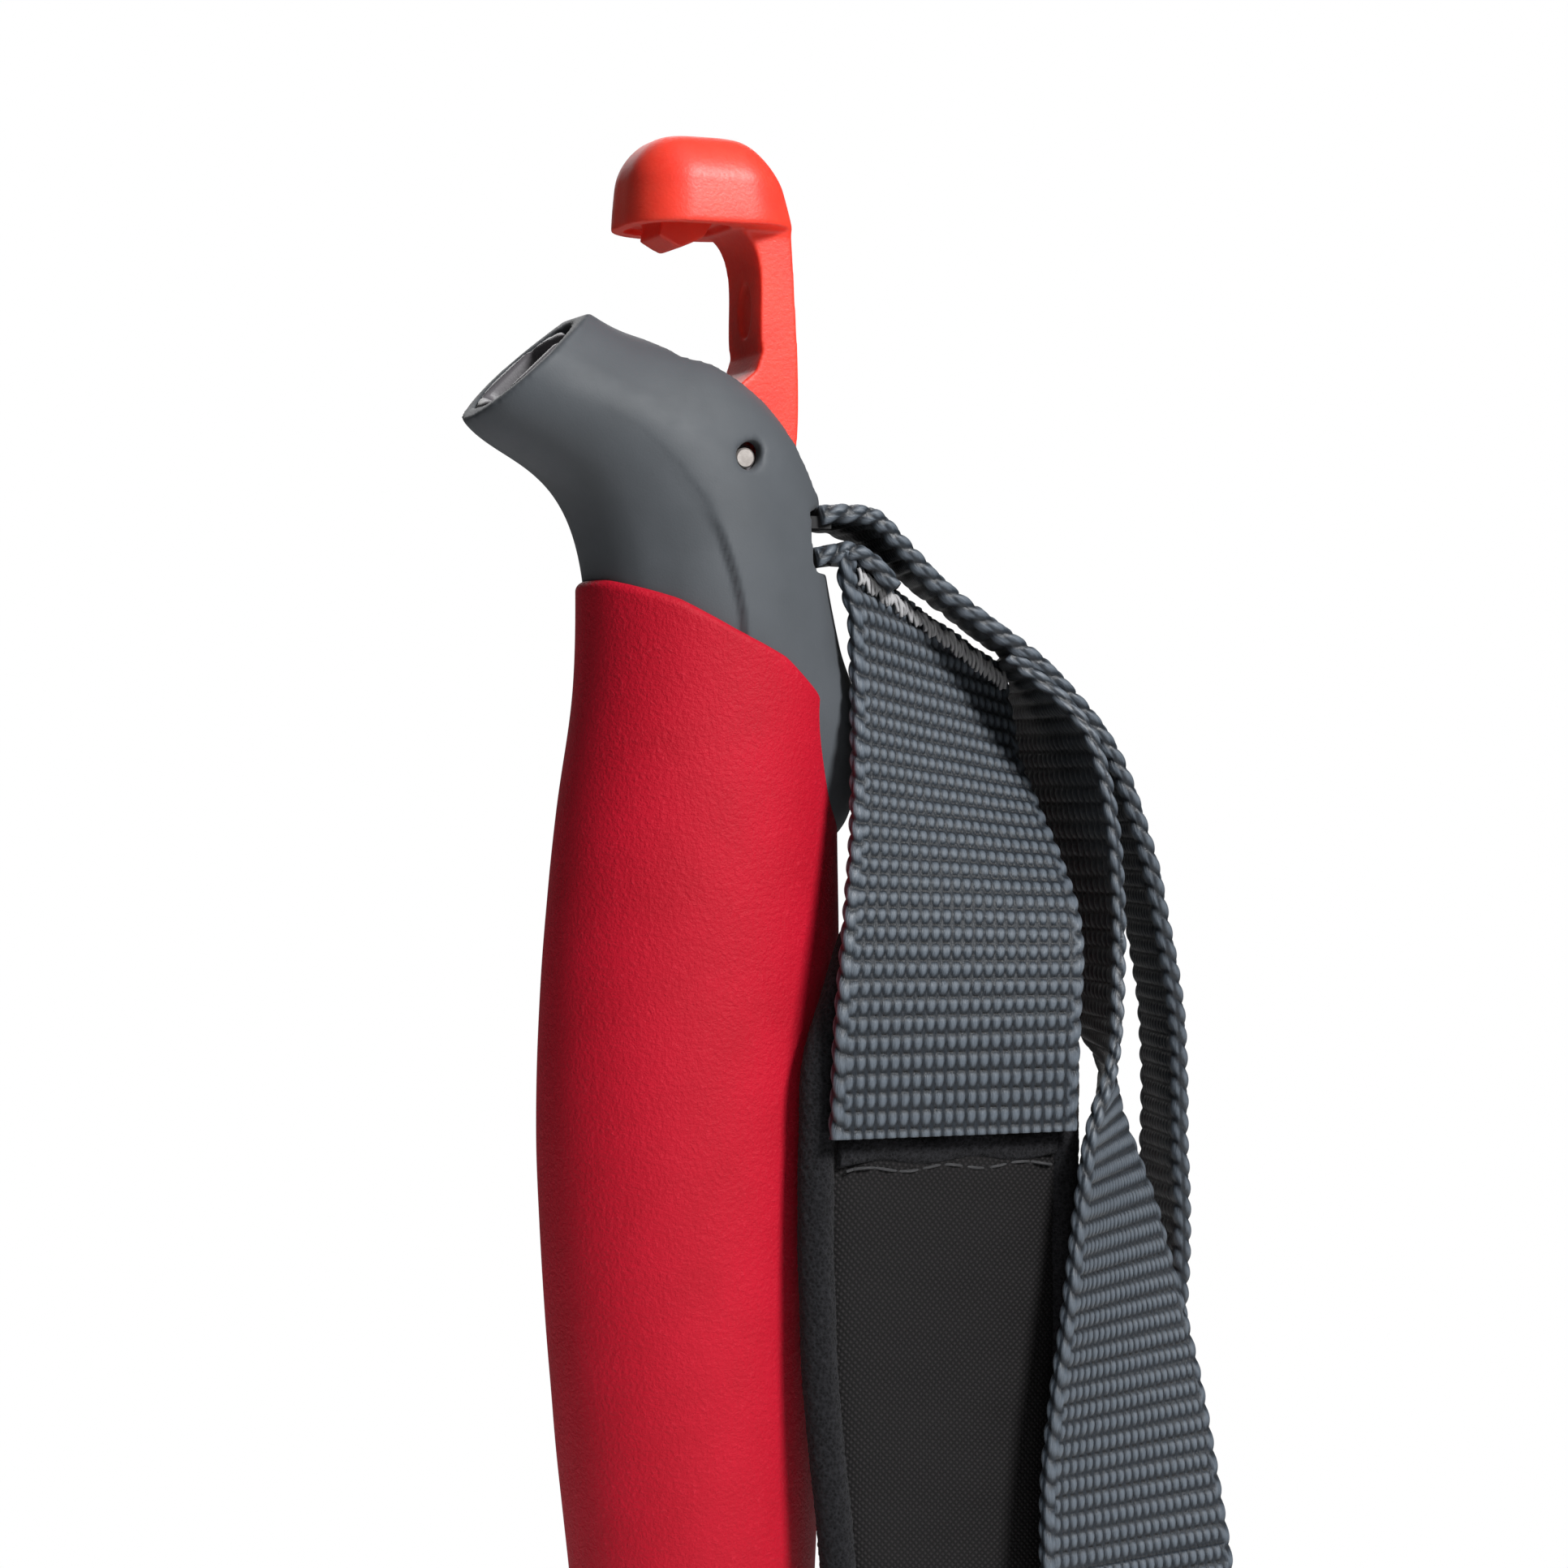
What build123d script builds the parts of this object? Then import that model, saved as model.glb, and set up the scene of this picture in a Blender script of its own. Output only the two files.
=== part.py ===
"""Handle unit of a trekking pole: grip head, foam sleeve, flip lever strap lock and wrist strap.

Frame: +Z runs up along the bore that takes the pole shaft, the origin is the centre of the
bore's mouth, the nose of the head points to -X and the strap hangs behind it, towards +X.
Millimetres throughout.
"""
import os
from math import cos, pi, radians, sin, sqrt

from build123d import *

# ---------------------------------------------------------------- driving dimensions
shaft_radius = 9.0          # bore for an 18 mm shaft
bore_depth = 120.0
core_wall = 2.0             # hard core round the bore
collar_height = 7.0
neck_height = 134.0         # bore mouth to the foot of the head; the whole head rides on it
cover_wall = 2.2            # soft cover over the core
foam_wall = 4.3             # foam over the side of the core at the palm swell
foam_depth = 18.8           # half depth of the foam at the palm swell

pin_x = 3.4                 # lever pin, from the bore axis
pin_rise = 22.4             # lever pin, above the foot of the head
pin_radius = 1.25
pin_fit = 0.05              # running fit of the lever on its pin
pin_half_length = 10.5
lever_width = 11.2
lever_side_gap = 0.6        # between the lever and each cheek of its slot
lever_reach = 28.6          # pin to the underside of the cap
lever_travel = 53.0         # degrees from open to closed
cap_length = 22.8
cap_width = 18.6
cap_height = 11.6
cap_offset = -2.2           # middle of the cap, from the pin

cam_rest = 3.2              # pin to the flat of the cam when open
cam_lift = 1.2              # shoe travel from open to closed
cam_gap = 0.3               # cam to shoe, kept over the whole travel
shoe_length = 9.0
shoe_plate = 1.4
shoe_tooth = 0.3

web_width = 31.0            # webbing of the wrist loop
web_thick = 1.6
fold_width = 16.0           # adjusting webbing, the one that runs through the head
inner_thick = 1.5           # webbing pressed flat inside the head
web_gap = 0.25              # webbing to the metal and plastic beside it
channel_gap = 0.5           # webbing to the sides of its channel
anchor_radius = 1.5
anchor_x = -2.5
anchor_half_length = 9.2
anvil_x = 4.4
anvil_length = 8.0
anvil_side = 0.5            # how far the anvil sits in each side wall of the channel

pad_foam_thick = 3.0
pad_cloth_thick = 0.6
binding_width = 4.2
binding_thick = 5.0
thread = 0.5
zigzag_pitch = 1.5
pad_stitch_pitch = 3.0
loop_stretch = 1.0          # length of the wrist loop, as a share of the standard one

# ---------------------------------------------------------------- places worked out from them
core_radius = shaft_radius + core_wall
foam_girth = core_radius + foam_wall    # half width of the foam at the palm swell
pin_z = neck_height + pin_rise
slot_half = lever_width / 2 + lever_side_gap
shoe_top = pin_z - cam_rest - cam_gap
shoe_total = shoe_plate + shoe_tooth
run_top = shoe_top - cam_lift - shoe_total - web_gap
anchor_z = run_top - inner_thick - pin_fit - anchor_radius
run_offset = anchor_radius + pin_fit + inner_thick
channel_half = fold_width / 2 + channel_gap
exit_x = 17.2               # mouth of the strap slot, on the back of the head
exit_z = anchor_z + 2.3
exit_half = fold_width / 2 + 2 * channel_gap

# Head stations: centre x, height above the foot of the head, lean of the section in degrees,
# half depth and half width. The first is the nose, the last is buried in the foam.
head_stations = [
    (-22.0, 33.2, 43.0, 9.2, 9.2),
    (-14.0, 28.6, 41.0, 10.2, 10.6),
    (-6.6, 24.6, 34.0, 12.3, 12.0),
    (-1.6, 18.8, 23.0, 14.0, 12.9),
    (1.2, 11.6, 11.0, 14.8, 13.4),
    (3.2, 0.0, 0.0, 16.0, core_radius + 2.4),
    (3.2, -16.0, 0.0, 17.2, core_radius + 1.8),
    (1.0, -36.0, 0.0, 16.0, core_radius + 1.4),
]
# Foam stations: centre x, height, half depth and half width, the last two as a share of the swell.
foam_stations = [
    (0.0, collar_height, 0.73, 0.87),
    (-0.2, neck_height - 114, 0.78, 0.90),
    (-0.6, neck_height - 94, 0.87, 0.95),
    (-0.6, neck_height - 77, 0.94, 0.98),
    (-0.3, neck_height - 54, 1.0, 1.0),
    (0.4, neck_height - 37, 0.99, 0.99),
    (1.1, neck_height - 21, 0.94, 0.97),
    (2.2, neck_height - 4.5, 0.875, 0.94),
    (2.4, neck_height + 12, 0.87, 0.93),
]
# Top edge of the foam seen from the side: x, height above the foot of the head.
foam_edge = [(-19, 8.2), (-13, 7.6), (-6, 5.2), (1, 1.6), (8, -1.6), (13, -5.6), (16.4, -11),
             (18.2, -18), (19.2, -28), (22, -33)]


def station_plane(x, rise, lean):
    """Plane of one head section: its local x runs from the front of the head to its back."""
    t = radians(lean)
    return Plane(origin=(x, 0, neck_height + rise), x_dir=(cos(t), 0, sin(t)), z_dir=(-sin(t), 0, cos(t)))


def side_plane(x, z):
    """Side view plane with its origin at the given point: local x is +X and local y is +Z."""
    return Plane(origin=(x, 0, z), x_dir=(1, 0, 0), z_dir=(0, -1, 0))


def finish(item, name):
    """Name one finished piece and write it."""
    item.part.label = name
    export_step(item.part, f"parts/{name}.step")


os.makedirs("parts", exist_ok=True)

# ---------------------------------------------------------------- head envelopes
with BuildPart() as head_outer:
    for x, rise, lean, deep, wide in head_stations:
        with BuildSketch(station_plane(x, rise, lean)):
            Ellipse(deep, wide)
    loft()

with BuildPart() as head_inner:
    for x, rise, lean, deep, wide in head_stations:
        with BuildSketch(station_plane(x, rise, lean)):
            Ellipse(deep - cover_wall, wide - cover_wall)
    loft()

# ---------------------------------------------------------------- cuts shared by core and cover
slot_floor = [(20, -cam_rest - 0.7), (-5.0, -cam_rest - 0.7), (-6.5, -0.3), (-7.9, 4.9), (-8.2, 9.4),
              (-9.2, 11.3), (-12.2, 13.2), (-17.0, 15.3), (-26, 19.6), (-26, 34), (20, 34)]
with BuildPart() as lever_slot:
    with BuildSketch(side_plane(pin_x, pin_z)):
        with BuildLine():
            Polyline(*slot_floor, close=True)
        make_face()
    extrude(amount=slot_half, both=True)

with BuildPart() as strap_channel:
    front = anchor_x - run_offset - 2 * web_gap
    with BuildSketch(side_plane((front + exit_x + 12) / 2, anchor_z)):
        Rectangle(exit_x + 12 - front, 2 * run_offset + 2 * web_gap)
    extrude(amount=channel_half, both=True)
    with BuildSketch(Plane.YZ.offset(exit_x - 5).shift_origin((exit_x - 5, 0, anchor_z))):
        RectangleRounded(2 * exit_half, 2 * run_offset + 1.6, 1.2)
    extrude(amount=17)

with BuildPart() as shoe_pocket:
    with BuildSketch(side_plane(pin_x, (shoe_top + run_top) / 2)):
        Rectangle(shoe_length + 2 * web_gap, shoe_top - run_top + 2.4)
    extrude(amount=slot_half, both=True)

# ---------------------------------------------------------------- grip core
with BuildPart() as grip_core:
    add(head_inner.part)
    with BuildSketch(Plane.XY):
        Circle(core_radius)
    extrude(amount=neck_height - 14)
    with Locations((0, 0, 0)):
        Cylinder(core_radius + 1.2, 1.5, align=(Align.CENTER, Align.CENTER, Align.MIN))
    with BuildSketch(Plane.XY):
        Circle(shaft_radius)
    extrude(amount=bore_depth, mode=Mode.SUBTRACT)
    add(lever_slot.part, mode=Mode.SUBTRACT)
    add(strap_channel.part, mode=Mode.SUBTRACT)
    add(shoe_pocket.part, mode=Mode.SUBTRACT)
    with BuildSketch(station_plane(*head_stations[0][:3])):
        Trapezoid(12.6, 9.6, 78)
    extrude(amount=-7.5, taper=8, mode=Mode.SUBTRACT)
    with Locations(Plane(origin=(pin_x, 0, pin_z), z_dir=(0, 1, 0))):
        Cylinder(pin_radius, 40, mode=Mode.SUBTRACT)
    with Locations(Plane(origin=(anchor_x, 0, anchor_z), z_dir=(0, 1, 0))):
        Cylinder(anchor_radius, 2 * anchor_half_length, mode=Mode.SUBTRACT)
    with Locations((anvil_x, 0, anchor_z)):
        Box(anvil_length, 2 * (channel_half + anvil_side), 2 * (anchor_radius - web_gap + pin_fit),
            mode=Mode.SUBTRACT)
finish(grip_core, "grip_core")

# ---------------------------------------------------------------- soft cover of the head
with BuildPart() as head_cover:
    add(head_outer.part)
    add(head_inner.part, mode=Mode.SUBTRACT)
    add(lever_slot.part, mode=Mode.SUBTRACT)
    add(strap_channel.part, mode=Mode.SUBTRACT)
    with Locations(Plane(origin=(pin_x, 0, pin_z), z_dir=(0, 1, 0))):
        Cylinder(pin_radius + 0.35, 40, mode=Mode.SUBTRACT)
    with BuildSketch(Plane.XY):
        Circle(core_radius)
    extrude(amount=neck_height - 14, mode=Mode.SUBTRACT)
finish(head_cover, "head_cover")

# ---------------------------------------------------------------- foam sleeve
with BuildPart() as foam_sleeve:
    for x, z, deep, wide in foam_stations:
        with BuildSketch(Plane(origin=(x, 0, z))):
            Ellipse(deep * foam_depth, wide * foam_girth)
    loft()
    with BuildSketch(side_plane(0, neck_height)):
        with BuildLine():
            edge = Spline(*foam_edge)
            Polyline(edge @ 1, (30, -33), (30, 30), (-30, 30), edge @ 0)
        make_face()
    extrude(amount=30, both=True, mode=Mode.SUBTRACT)
    add(head_outer.part, mode=Mode.SUBTRACT)
    with BuildSketch(Plane.XY):
        Circle(core_radius)
    extrude(amount=neck_height + 30, mode=Mode.SUBTRACT)
finish(foam_sleeve, "foam_sleeve")

# ---------------------------------------------------------------- bottom collar
with BuildPart() as bottom_collar:
    with BuildSketch(Plane.XY):
        Ellipse(0.73 * foam_depth + 0.5, 0.87 * foam_girth + 0.5)
    extrude(amount=collar_height)
    fillet(bottom_collar.edges().group_by(Axis.Z)[0], 1.2)
    with BuildSketch(Plane.XY):
        Circle(core_radius)
    extrude(amount=collar_height, mode=Mode.SUBTRACT)
    with BuildSketch(Plane.XY):
        Circle(core_radius + 1.2)
    extrude(amount=1.5, mode=Mode.SUBTRACT)
finish(bottom_collar, "bottom_collar")

# ---------------------------------------------------------------- lever pin and anchor pin
with BuildPart() as lever_pin:
    with BuildSketch(Plane(origin=(pin_x, -pin_half_length, pin_z), z_dir=(0, 1, 0))):
        Circle(pin_radius)
    extrude(amount=2 * pin_half_length)
    chamfer(lever_pin.edges().filter_by(GeomType.CIRCLE), 0.2)
finish(lever_pin, "lever_pin")

with BuildPart() as anchor_pin:
    with BuildSketch(Plane(origin=(anchor_x, -anchor_half_length, anchor_z), z_dir=(0, 1, 0))):
        Circle(anchor_radius)
    extrude(amount=2 * anchor_half_length)
finish(anchor_pin, "strap_anchor_pin")

# ---------------------------------------------------------------- anvil with its teeth
anvil_half = anchor_radius - web_gap + pin_fit
with BuildPart() as strap_anvil:
    with Locations((anvil_x, 0, anchor_z)):
        Box(anvil_length, 2 * (channel_half + anvil_side), 2 * anvil_half)
    tooth_pitch = 1.6
    tooth_count = int((anvil_length - 2) / tooth_pitch)
    with BuildSketch(side_plane(anvil_x, anchor_z + anvil_half)):
        with GridLocations(tooth_pitch, 1, tooth_count, 1):
            Rectangle(0.6, 0.8, rotation=45)
    extrude(amount=channel_half, both=True, mode=Mode.SUBTRACT)
finish(strap_anvil, "strap_anvil")

# ---------------------------------------------------------------- webbing inside the head
with BuildPart() as inner_web:
    run = exit_x - anchor_x - 1.5
    with BuildSketch(side_plane(anchor_x, anchor_z)):
        Circle(run_offset)
        with Locations((run / 2, 0)):
            Rectangle(run, 2 * run_offset)
        Circle(run_offset - inner_thick, mode=Mode.SUBTRACT)
        with Locations((run / 2, 0)):
            Rectangle(run, 2 * (run_offset - inner_thick), mode=Mode.SUBTRACT)
    extrude(amount=fold_width / 2, both=True)
finish(inner_web, "strap_inner_web")

# ---------------------------------------------------------------- flip lever
cam_pitch = cam_lift / radians(lever_travel)
cam_points = []
for step in range(7):
    turn = radians(lever_travel) * step / 6
    phi = 1.5 * pi - turn
    support = cam_rest + cam_pitch * turn
    cam_points.append((support * cos(phi) + cam_pitch * sin(phi), support * sin(phi) - cam_pitch * cos(phi)))

with BuildPart() as flip_lever:
    with BuildSketch(side_plane(pin_x, pin_z)):
        with BuildLine():
            cam = Spline(*cam_points)
            heel = Polyline((9.0, 5.0), (8.6, -0.5), (6.5, -cam_rest), cam @ 0)
            toe = Polyline(cam @ 1, (-4.2, 1.8), (-3.0, 4.8), (0.3, 8.6), (3.4, 11.2), (4.2, 13.6))
            inner = Spline(toe @ 1, (4.0, lever_reach - 8), (3.2, lever_reach - 2.5), (0.2, lever_reach + 0.8))
            outer = Spline((8.2, lever_reach + 3), (8.4, lever_reach - 6), (8.9, lever_reach - 15), heel @ 0)
            Line(inner @ 1, outer @ 0)
        make_face()
    extrude(amount=lever_width / 2, both=True)
    with BuildSketch(Plane(origin=(pin_x + cap_offset, 0, pin_z + lever_reach))):
        RectangleRounded(cap_length, cap_width, cap_width / 2 - 1.6)
    extrude(amount=cap_height)
    crown = flip_lever.faces().sort_by(Axis.Z)[-1]
    fillet(crown.edges(), 5.6)
    with BuildSketch(Plane(origin=(pin_x + cap_offset - 3.2, 0, pin_z + lever_reach))):
        RectangleRounded(cap_length - 10.4, cap_width - 4.4, 4.6)
    extrude(amount=1.2, mode=Mode.SUBTRACT)
    with BuildSketch(side_plane(pin_x + cap_offset - 3.2, pin_z + lever_reach)):
        with BuildLine():
            Polyline((-3.6, 1.4), (-3.6, -1.2), (-0.6, -2.6), (2.6, -1.2), (4.4, 1.4), close=True)
        make_face()
    extrude(amount=3.6, both=True)
    with BuildSketch(Plane(origin=(pin_x + 3.4, 0, pin_z + lever_reach - 9.5), x_dir=(0, 1, 0), z_dir=(1, 0, 0))):
        Ellipse(2.0, 3.4)
    extrude(amount=1.1, mode=Mode.SUBTRACT)
    with Locations(Plane(origin=(pin_x, 0, pin_z), z_dir=(0, 1, 0))):
        Cylinder(pin_radius + pin_fit, 40, mode=Mode.SUBTRACT)
finish(flip_lever, "flip_lever")

# ---------------------------------------------------------------- clamp shoe
with BuildPart() as clamp_shoe:
    with Locations((pin_x, 0, shoe_top - shoe_plate / 2)):
        Box(shoe_length, lever_width, shoe_plate)
    shoe_tooth_pitch = 1.5
    with BuildSketch(side_plane(pin_x, shoe_top - shoe_plate)):
        with GridLocations(shoe_tooth_pitch, 1, int((shoe_length - 1) / shoe_tooth_pitch), 1):
            Rectangle(shoe_tooth * sqrt(2), shoe_tooth * sqrt(2), rotation=45)
    extrude(amount=lever_width / 2 - 0.5, both=True)
finish(clamp_shoe, "clamp_shoe")

# ---------------------------------------------------------------- wrist strap, as flat bands
# A band is a list of stations: x, y, depth below the strap slot, lean of its width in degrees
# from +X, and its width. The point is the band's left edge, the one the width is measured from.
adjusting_stations = [
    (18.2, -8.0, -1.5, 90, 1.0), (21.2, -8.0, -1.2, 86, 1.0), (25.9, -8.0, 2.1, 77, 1.0),
    (30.0, -8.0, 6.1, 72, 1.0), (36.7, -8.0, 11.1, 70, 1.0), (42.7, -8.0, 15.1, 70, 1.0),
    (48.0, -8.0, 19.5, 71, 1.0), (51.9, -8.0, 23.5, 73, 1.0), (54.8, -8.0, 27.5, 75, 1.0),
    (58.2, -8.0, 35.5, 77, 1.0), (60.8, -7.8, 43.5, 79, 1.0), (63.0, -7.0, 51.5, 81, 1.0),
    (65.4, -5.0, 59.5, 81, 1.0), (67.4, -2.0, 75.5, 81, 1.0), (69.0, 1.0, 91.5, 82, 1.0),
    (70.2, 3.4, 104.0, 84, 1.0), (70.2, 5.0, 121.0, 86, 1.0),
]
rear_stations = [
    (35.3, -10.0, 13.5, 90, 0.8), (41.2, -11.0, 17.3, 91, 0.9), (46.3, -12.0, 21.2, 93, 1.0),
    (49.6, -13.0, 24.9, 95, 1.0), (51.0, -13.0, 29.5, 95, 1.0), (52.0, -13.2, 37.0, 94, 1.0),
    (52.4, -13.8, 45.0, 92, 1.0), (52.2, -14.6, 52.0, 88, 1.0), (51.4, -16.2, 59.0, 82, 1.0),
    (49.4, -19.0, 66.0, 68, 1.0), (44.7, -22.0, 76.0, 56, 1.0), (42.9, -22.8, 86.0, 47, 1.0),
    (41.1, -23.5, 96.0, 39, 1.0), (39.3, -24.0, 106.0, 31, 1.0), (38.0, -24.5, 116.0, 25, 1.0),
    (37.2, -25.5, 129.0, 19, 1.0), (36.0, -27.5, 149.0, 13, 1.0), (33.0, -30.5, 168.0, 7, 1.0),
    (28.4, -32.4, 183.0, 2, 1.0), (24.0, -32.4, 194.0, -2, 1.0), (20.8, -29.8, 202.0, -5, 1.0),
    (18.8, -24.8, 205.0, -2, 1.0), (17.4, -20.0, 201.5, 0, 1.0), (16.8, -17.8, 194.0, 2, 1.0),
    (16.6, -17.6, 184.0, 2, 1.0),
]
front_stations = [
    (15.9, -7.8, 5.2, 40, 0.14), (16.6, -8.2, 7.5, 34, 0.24), (18.2, -8.9, 11.5, 31, 0.38),
    (18.4, -9.6, 15.5, 30, 0.60), (18.2, -10.6, 19.5, 29, 0.78), (17.7, -11.9, 23.5, 28, 0.87),
    (16.7, -14.2, 31.5, 22, 0.95), (15.2, -17.0, 40.5, 13, 1.0), (13.4, -19.4, 50.5, 4, 1.0),
    (12.0, -20.6, 60.0, 2, 1.0), (11.3, -20.6, 74.6, 2, 1.0),
]
pad_stations = [
    (15.4, -13.2, 48.5, 2.0, 28.0), (11.6, -15.2, 57.0, 2.0, 33.2), (8.7, -16.5, 65.0, 2.0, 36.8),
    (8.1, -16.7, 75.0, 2.0, 37.4), (8.1, -16.7, 90.0, 2.0, 37.4), (8.6, -16.7, 104.0, 2.0, 37.0),
    (10.0, -16.8, 119.0, 2.0, 36.4), (11.6, -17.0, 134.0, 2.0, 36.0), (13.2, -17.2, 149.0, 2.0, 35.6),
    (15.0, -17.4, 168.0, 2.0, 34.2), (17.4, -17.6, 181.0, 2.0, 30.0),
]


def band(stations, wide, thick, start=0.0, lift=0.0):
    """Loft a flat band down its stations.

    wide gives a station's band width, start how far the band begins from the station's left
    edge, and lift moves it along its own thickness, outwards when positive.
    """
    points = []
    for x, y, depth, lean, share in stations:
        across = Vector(cos(radians(lean)), sin(radians(lean)), 0)
        points.append((Vector(x, y, exit_z - depth * loop_stretch), across, wide(share)))
    sections = []
    for i, (left, across, width) in enumerate(points):
        along = points[min(i + 1, len(points) - 1)][0] - points[max(i - 1, 0)][0]
        along = (along - across * along.dot(across)).normalized()
        middle = left + across * (start + width / 2) + along.cross(across) * lift
        sections.append((Plane(origin=middle, x_dir=across, z_dir=along), width))
    with BuildPart() as strip:
        for plane, width in sections:
            with BuildSketch(plane):
                Rectangle(width, thick)
        loft(ruled=True)
    return strip


adjusting_web = band(adjusting_stations, lambda share: share * fold_width, web_thick)
finish(adjusting_web, "adjusting_web")

rear_web = band(rear_stations, lambda share: share * web_width, web_thick)
finish(rear_web, "rear_web")

front_web = band(front_stations, lambda share: share * web_width, web_thick)
finish(front_web, "front_web")

# The tail's end is folded back once and sewn.
tail_hem = band(adjusting_stations[-2:], lambda share: fold_width, web_thick, lift=web_thick + 0.1)
finish(tail_hem, "tail_hem")

# ---------------------------------------------------------------- wrist pad
pad_layers = {"pad_foam": (pad_foam_thick, 0.0),
              "pad_face": (pad_cloth_thick, (pad_foam_thick + pad_cloth_thick) / 2),
              "pad_lining": (pad_cloth_thick, -(pad_foam_thick + pad_cloth_thick) / 2)}
for name, (thick, lift) in pad_layers.items():
    layer = band(pad_stations, lambda width: width - 2 * binding_width, thick, binding_width, lift)
    finish(layer, name)

front_binding = band(pad_stations, lambda width: binding_width, binding_thick)
finish(front_binding, "pad_binding_front")

far_edge = [(x + (w - binding_width) * cos(radians(lean)), y + (w - binding_width) * sin(radians(lean)),
             depth, lean, w) for x, y, depth, lean, w in pad_stations]
rear_binding = band(far_edge, lambda width: binding_width, binding_thick)
finish(rear_binding, "pad_binding_rear")


# ---------------------------------------------------------------- sewing thread
def thread_row(first, last, pitch, length, swing):
    """Stitches from one point to another, each turned by swing and the next one the other way."""
    run = last - first
    count = int(run.length / pitch)
    along = run.normalized()
    across = along.cross(Vector(0, 1, 0))
    with BuildPart() as row:
        for i in range(count):
            lean = radians(swing if i % 2 else -swing)
            way = along * sin(lean) + across * cos(lean)
            with Locations(Plane(origin=first + run * ((i + 0.5) / count), x_dir=way, z_dir=way.cross(along))):
                Box(length, thread, thread)
    return row


web_skin = web_thick / 2 + thread / 2 + 0.35
zigzag = thread_row(Vector(18.6, -8.3 - web_skin, exit_z - 7.4 * loop_stretch),
                    Vector(37.6, -0.6 - web_skin, exit_z - 19.8 * loop_stretch), zigzag_pitch, 2.4, 12)
finish(zigzag, "zigzag_stitches")

pad_skin = pad_foam_thick / 2 + pad_cloth_thick + thread / 2 + 0.1
pad_seam = thread_row(Vector(14.0, -16.5 - pad_skin, exit_z - 77.4 * loop_stretch),
                      Vector(40.0, -15.6 - pad_skin, exit_z - 77.4 * loop_stretch), pad_stitch_pitch, 2.0, 90)
finish(pad_seam, "pad_stitches")
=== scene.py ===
# %% [markdown]
# # Trekking pole handle
# A bent grip head under a soft grey cover, a red foam sleeve, a flip lever that locks the strap,
# and a wrist loop of woven webbing with a padded part. The design model gives every place and
# size, and this lesson gives the surfaces: how woven, foamed, moulded and sewn things are built.

# %% Load the design model
import math

import bpy
import numpy as np
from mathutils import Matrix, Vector


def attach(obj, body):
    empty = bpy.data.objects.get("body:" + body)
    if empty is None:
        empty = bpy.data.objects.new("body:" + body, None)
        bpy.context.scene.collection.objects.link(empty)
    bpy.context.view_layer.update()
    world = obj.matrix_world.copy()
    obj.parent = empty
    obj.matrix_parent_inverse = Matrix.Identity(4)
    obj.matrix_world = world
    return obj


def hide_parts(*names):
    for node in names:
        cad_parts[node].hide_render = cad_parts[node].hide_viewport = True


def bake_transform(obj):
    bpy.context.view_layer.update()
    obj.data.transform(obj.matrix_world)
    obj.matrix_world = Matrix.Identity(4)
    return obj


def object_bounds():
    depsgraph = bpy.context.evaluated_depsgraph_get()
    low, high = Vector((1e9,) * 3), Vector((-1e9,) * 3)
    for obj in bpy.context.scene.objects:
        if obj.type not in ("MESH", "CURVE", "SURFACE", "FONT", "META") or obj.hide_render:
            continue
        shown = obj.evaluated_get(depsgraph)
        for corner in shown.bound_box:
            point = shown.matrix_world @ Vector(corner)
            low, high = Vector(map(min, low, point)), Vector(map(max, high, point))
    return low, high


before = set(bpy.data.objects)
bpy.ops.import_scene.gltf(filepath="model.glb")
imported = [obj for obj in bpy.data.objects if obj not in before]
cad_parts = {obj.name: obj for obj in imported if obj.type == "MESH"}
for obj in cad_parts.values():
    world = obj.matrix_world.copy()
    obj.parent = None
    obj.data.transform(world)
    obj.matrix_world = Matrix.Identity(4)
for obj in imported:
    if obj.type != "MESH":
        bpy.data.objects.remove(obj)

MM = 0.001
cad_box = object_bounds()
print("design model", [round(v / MM, 1) for corner in cad_box for v in corner])

# %% [markdown]
# ## The camera
# The object is seen from its side, with its nose turned a little away, through a long lens. The
# camera is level with its aim, a point on the upper grip. The aim and the width of the view are
# given in the design model's millimetres and in metres.

# %% Camera
VIEW_TURN = math.radians(-22)
VIEW_DISTANCE = 0.5
VIEW_WIDTH = 0.1932
SENSOR = 36.0
aim = Vector((10.9, -4.4, 116.9)) * MM
back = Vector((math.sin(VIEW_TURN), -math.cos(VIEW_TURN), 0.0))
camera = bpy.data.objects.new("camera", bpy.data.cameras.new("camera"))
camera.data.sensor_width = SENSOR
camera.data.lens = SENSOR * VIEW_DISTANCE / VIEW_WIDTH
camera.data.clip_start = 0.01
camera.location = aim + back * VIEW_DISTANCE
camera.rotation_euler = (-back).to_track_quat("-Z", "Y").to_euler()
bpy.context.scene.collection.objects.link(camera)
bpy.context.scene.camera = camera
print("lens", round(camera.data.lens, 1), "mm")

# %% [markdown]
# ## Mesh helpers
# Every new piece is a grid of points: rows run along the piece and columns run round it. One
# helper joins the grid into quads, and another closes its two ends.

# %% Grid to mesh
def make_object(name, points, faces, smooth=True):
    """A mesh object from an array of points in metres and a list of quads and n-gons."""
    mesh = bpy.data.meshes.new(name)
    mesh.from_pydata(points.reshape(-1, 3).tolist(), [], faces)
    mesh.polygons.foreach_set("use_smooth", [smooth] * len(mesh.polygons))
    mesh.update()
    piece = bpy.data.objects.new(name, mesh)
    bpy.context.scene.collection.objects.link(piece)
    return piece


def grid_faces(rows, columns, wrap, flip=False):
    """Quads of a rows x columns grid, whose last column joins the first if wrap is true."""
    r, c = np.meshgrid(np.arange(rows - 1), np.arange(columns if wrap else columns - 1), indexing="ij")
    n = (c + 1) % columns
    quads = np.stack([r * columns + c, r * columns + n, (r + 1) * columns + n, (r + 1) * columns + c], -1)
    quads = quads.reshape(-1, 4)
    return (quads[:, ::-1] if flip else quads).tolist()


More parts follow.
